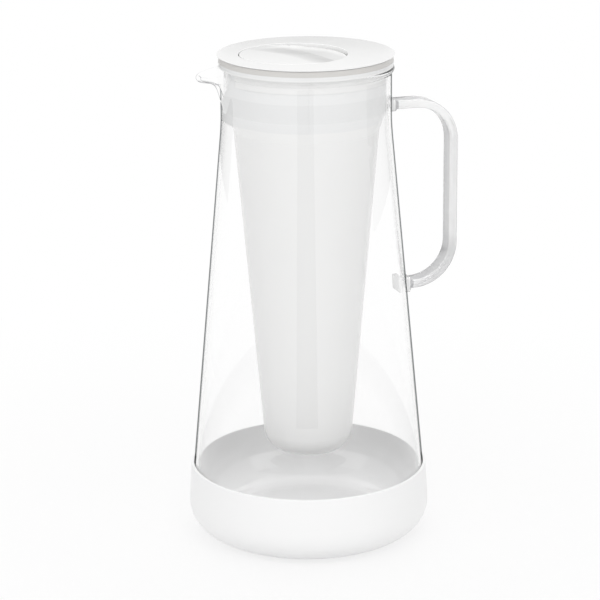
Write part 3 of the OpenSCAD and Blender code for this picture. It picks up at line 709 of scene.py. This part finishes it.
def cap():
    """Round cap with its dish, a rounded edge and a hollow underside."""
    seg = 256
    wall_in = CAP_R - CAP_WALL
    top_edge = [(CAP_R - CAP_EDGE_R + CAP_EDGE_R * math.sin(w), CAP_EDGE_R - CAP_EDGE_R * math.cos(w))
                for w in np.linspace(0, math.pi / 2, 6)]
    rings = [("top", r, 0) for r in np.linspace(0, CAP_R - 0.7, 90)]
    rings += [("top", r, d) for r, d in top_edge]
    rings += [("low", CAP_R, 0), ("low", wall_in, 0)]
    rings += [("under", r, 0) for r in (wall_in, wall_in - 0.3, 22, 18, 12, 6, 0)]
    verts, starts = [], []
    for kind, r, d in rings:
        starts.append(len(verts))
        count = 1 if r == 0 else seg
        for k in range(count):
            a = 2 * math.pi * k / seg
            x, y = r * math.cos(a), r * math.sin(a)
            if kind == "top":
                z = crown(x - CAP_SHIFT, y, LID_TOP)[2] - dish(x, y) - d
            elif kind == "low":
                z = LID_TOP - CAP_H
            else:
                z = max(LID_TOP - CAP_H, LID_TOP - dish(x, y) - CAP_WALL)
            verts.append((x - CAP_SHIFT, y, z))
    faces = []
    for i in range(len(rings) - 1):
        a, b = starts[i], starts[i + 1]
        for k in range(seg):
            m = (k + 1) % seg
            if rings[i][1] == 0:
                faces.append((a, b + k, b + m))
            elif rings[i + 1][1] == 0:
                faces.append((a + m, a + k, b))
            else:
                faces.append((a + m, a + k, b + k, b + m))
    return new_object("cap_dish", verts, faces, 50)


dress(cap(), "cap", "cap_plastic", mat_cap, "flip_cap")


# Camera
DISTANCE, HEIGHT = 1.3365, 0.5358
AZIMUTH = math.radians(18)
PITCH, YAW, ROLL = 0.293394, 0.002849, -0.007195
FOCAL_PX = 2547.7
IMAGE_PX = 600
SENSOR = 36


def part_frame(v):
    """From the camera's ground frame to the part's frame."""
    return Vector((v[0] * math.cos(AZIMUTH) + v[1] * math.sin(AZIMUTH),
                   v[1] * math.cos(AZIMUTH) - v[0] * math.sin(AZIMUTH), v[2]))


forward = Vector((-math.sin(YAW) * math.cos(PITCH), math.cos(YAW) * math.cos(PITCH), -math.sin(PITCH)))
side = Vector((math.cos(YAW), math.sin(YAW), 0))
above = side.cross(forward)
right = part_frame(math.cos(ROLL) * side + math.sin(ROLL) * above)
up = part_frame(math.cos(ROLL) * above - math.sin(ROLL) * side)
back = -part_frame(forward)
camera_data = bpy.data.cameras.new("camera")
camera_data.sensor_width = SENSOR
camera_data.lens = FOCAL_PX * SENSOR / IMAGE_PX
camera_data.shift_x = -0.5 / IMAGE_PX
camera_data.shift_y = 0.5 / IMAGE_PX
camera_data.clip_end = 50
camera = bpy.data.objects.new("camera", camera_data)
bpy.context.scene.collection.objects.link(camera)
camera.matrix_world = Matrix.Translation(part_frame((0, -DISTANCE, HEIGHT))) @ Matrix(
    (right, up, back)).transposed().to_4x4()
bpy.context.scene.camera = camera


# Light, floor and background
def sees_background(tree):
    """1 for rays that show the white background: from the camera, and through or off glass and gloss."""
    path = node(tree, "ShaderNodeLightPath")
    seen = formula(tree, "MAXIMUM", path.outputs["Is Camera Ray"], path.outputs["Is Transmission Ray"])
    seen = formula(tree, "MAXIMUM", seen, path.outputs["Is Glossy Ray"])
    later = formula(tree, "GREATER_THAN", path.outputs["Diffuse Depth"], 0.5)
    weaker = formula(tree, "SUBTRACT", 1.0, formula(tree, "MULTIPLY", later, 0.2))
    return formula(tree, "MULTIPLY", seen, weaker)


WORLD_LIGHT = 0.55
FLOOR_TONE = 0.90
FLOOR_NEAR, FLOOR_FAR = 0.03, 0.45
FLOOR_SHARE = 0.78
FLOOR_REACH = 12.0
PITCHER_MIDDLE = 0.13
CARD_STEPS = 12

world = bpy.data.worlds.new("studio")
bpy.context.scene.world = world
world.use_nodes = True
tree = world.node_tree
tree.nodes.clear()
out = node(tree, "ShaderNodeOutputWorld")
seen = node(tree, "ShaderNodeBackground", {"Color": (1, 1, 1, 1), "Strength": 1.0})
lit = node(tree, "ShaderNodeBackground", {"Color": (1, 1, 1, 1), "Strength": WORLD_LIGHT})
tree.links.new(blend(tree, sees_background(tree), lit, seen).outputs[0], out.inputs["Surface"])


def softbox(name, azimuth, elevation, distance, width, height, power):
    """Area lamp that looks at the middle of the pitcher; azimuth is measured from the camera."""
    data = bpy.data.lights.new(name, "AREA")
    data.shape = "RECTANGLE"
    data.size, data.size_y = width, height
    data.energy = power
    obj = bpy.data.objects.new(name, data)
    bpy.context.scene.collection.objects.link(obj)
    a = math.radians(azimuth)
    e = math.radians(elevation)
    place = part_frame((distance * math.cos(e) * math.sin(a), -distance * math.cos(e) * math.cos(a),
                        distance * math.sin(e)))
    obj.location = place + Vector((0, 0, PITCHER_MIDDLE))
    obj.rotation_euler = (-place).to_track_quat("-Z", "Y").to_euler()


softbox("softbox_left", -48, 30, 2.2, 1.5, 1.8, 5.5)
softbox("softbox_right", 48, 30, 2.2, 1.5, 1.8, 5.5)
softbox("softbox_front", 0, 42, 2.2, 2.0, 1.6, 12.5)
softbox("softbox_back", 180, 62, 2.0, 2.0, 2.0, 14)


def flag(name, azimuth, half_deg, distance, low, high, shade=0.25):
    """Grey card that only reflections see; azimuth is measured from the camera."""
    a, half = math.radians(azimuth), math.radians(half_deg)
    row = CARD_STEPS + 1
    verts = [distance * part_frame((math.sin(a + w), -math.cos(a + w), 0)) + Vector((0, 0, z))
             for z in (low, high) for w in np.linspace(-half, half, row)]
    mesh = bpy.data.meshes.new(name)
    mesh.from_pydata([tuple(v) for v in verts], [],
                     [(k, k + 1, k + row + 1, k + row) for k in range(CARD_STEPS)])
    card = bpy.data.objects.new(name, mesh)
    bpy.context.scene.collection.objects.link(card)
    card.visible_camera = card.visible_diffuse = card.visible_shadow = card.visible_transmission = False
    mat, tree, out = material(name)
    grey = node(tree, "ShaderNodeEmission", {"Color": (shade, shade, shade, 1), "Strength": 1.0})
    tree.links.new(grey.outputs[0], out.inputs["Surface"])
    mesh.materials.append(mat)


flag("flag_front", -1, 10.4, 0.55, 0.0, 0.6, 0.02)
flag("flag_right", 108, 23, 0.55, 0.11, 0.165)
flag("flag_left", -134, 22, 0.55, 0.11, 0.165)
flag("flag_back", 180, 4.5, 1.2, 0.40, 0.50, 0.45)
flag("flag_back_low", 180, 4.5, 1.2, 0.0, 0.40, 0.20)

floor_mesh = bpy.data.meshes.new("floor")
corners = [(a * FLOOR_REACH, b * FLOOR_REACH, 0) for a, b in ((-1, -1), (1, -1), (1, 1), (-1, 1))]
floor_mesh.from_pydata(corners, [], [(0, 1, 2, 3)])
floor = bpy.data.objects.new("floor", floor_mesh)
bpy.context.scene.collection.objects.link(floor)
floor.location.z = -0.0002
mat_floor, tree, out = material("studio_floor")
dull = node(tree, "ShaderNodeBsdfDiffuse", {"Color": (FLOOR_TONE, FLOOR_TONE, FLOOR_TONE, 1)})
glow = node(tree, "ShaderNodeEmission", {"Color": (1, 1, 1, 1), "Strength": 1.0})
where = node(tree, "ShaderNodeNewGeometry")
away = node(tree, "ShaderNodeVectorMath", operation="LENGTH")
tree.links.new(where.outputs["Position"], away.inputs[0])
far = step(tree, away.outputs["Value"], FLOOR_NEAR, FLOOR_FAR)
share = formula(tree, "ADD", formula(tree, "MULTIPLY", far, 1 - FLOOR_SHARE), FLOOR_SHARE)
bright = formula(tree, "MULTIPLY", share, sees_background(tree))
tree.links.new(blend(tree, bright, dull, glow).outputs[0], out.inputs["Surface"])
floor_mesh.materials.append(mat_floor)

bpy.context.scene.view_settings.view_transform = "Standard"
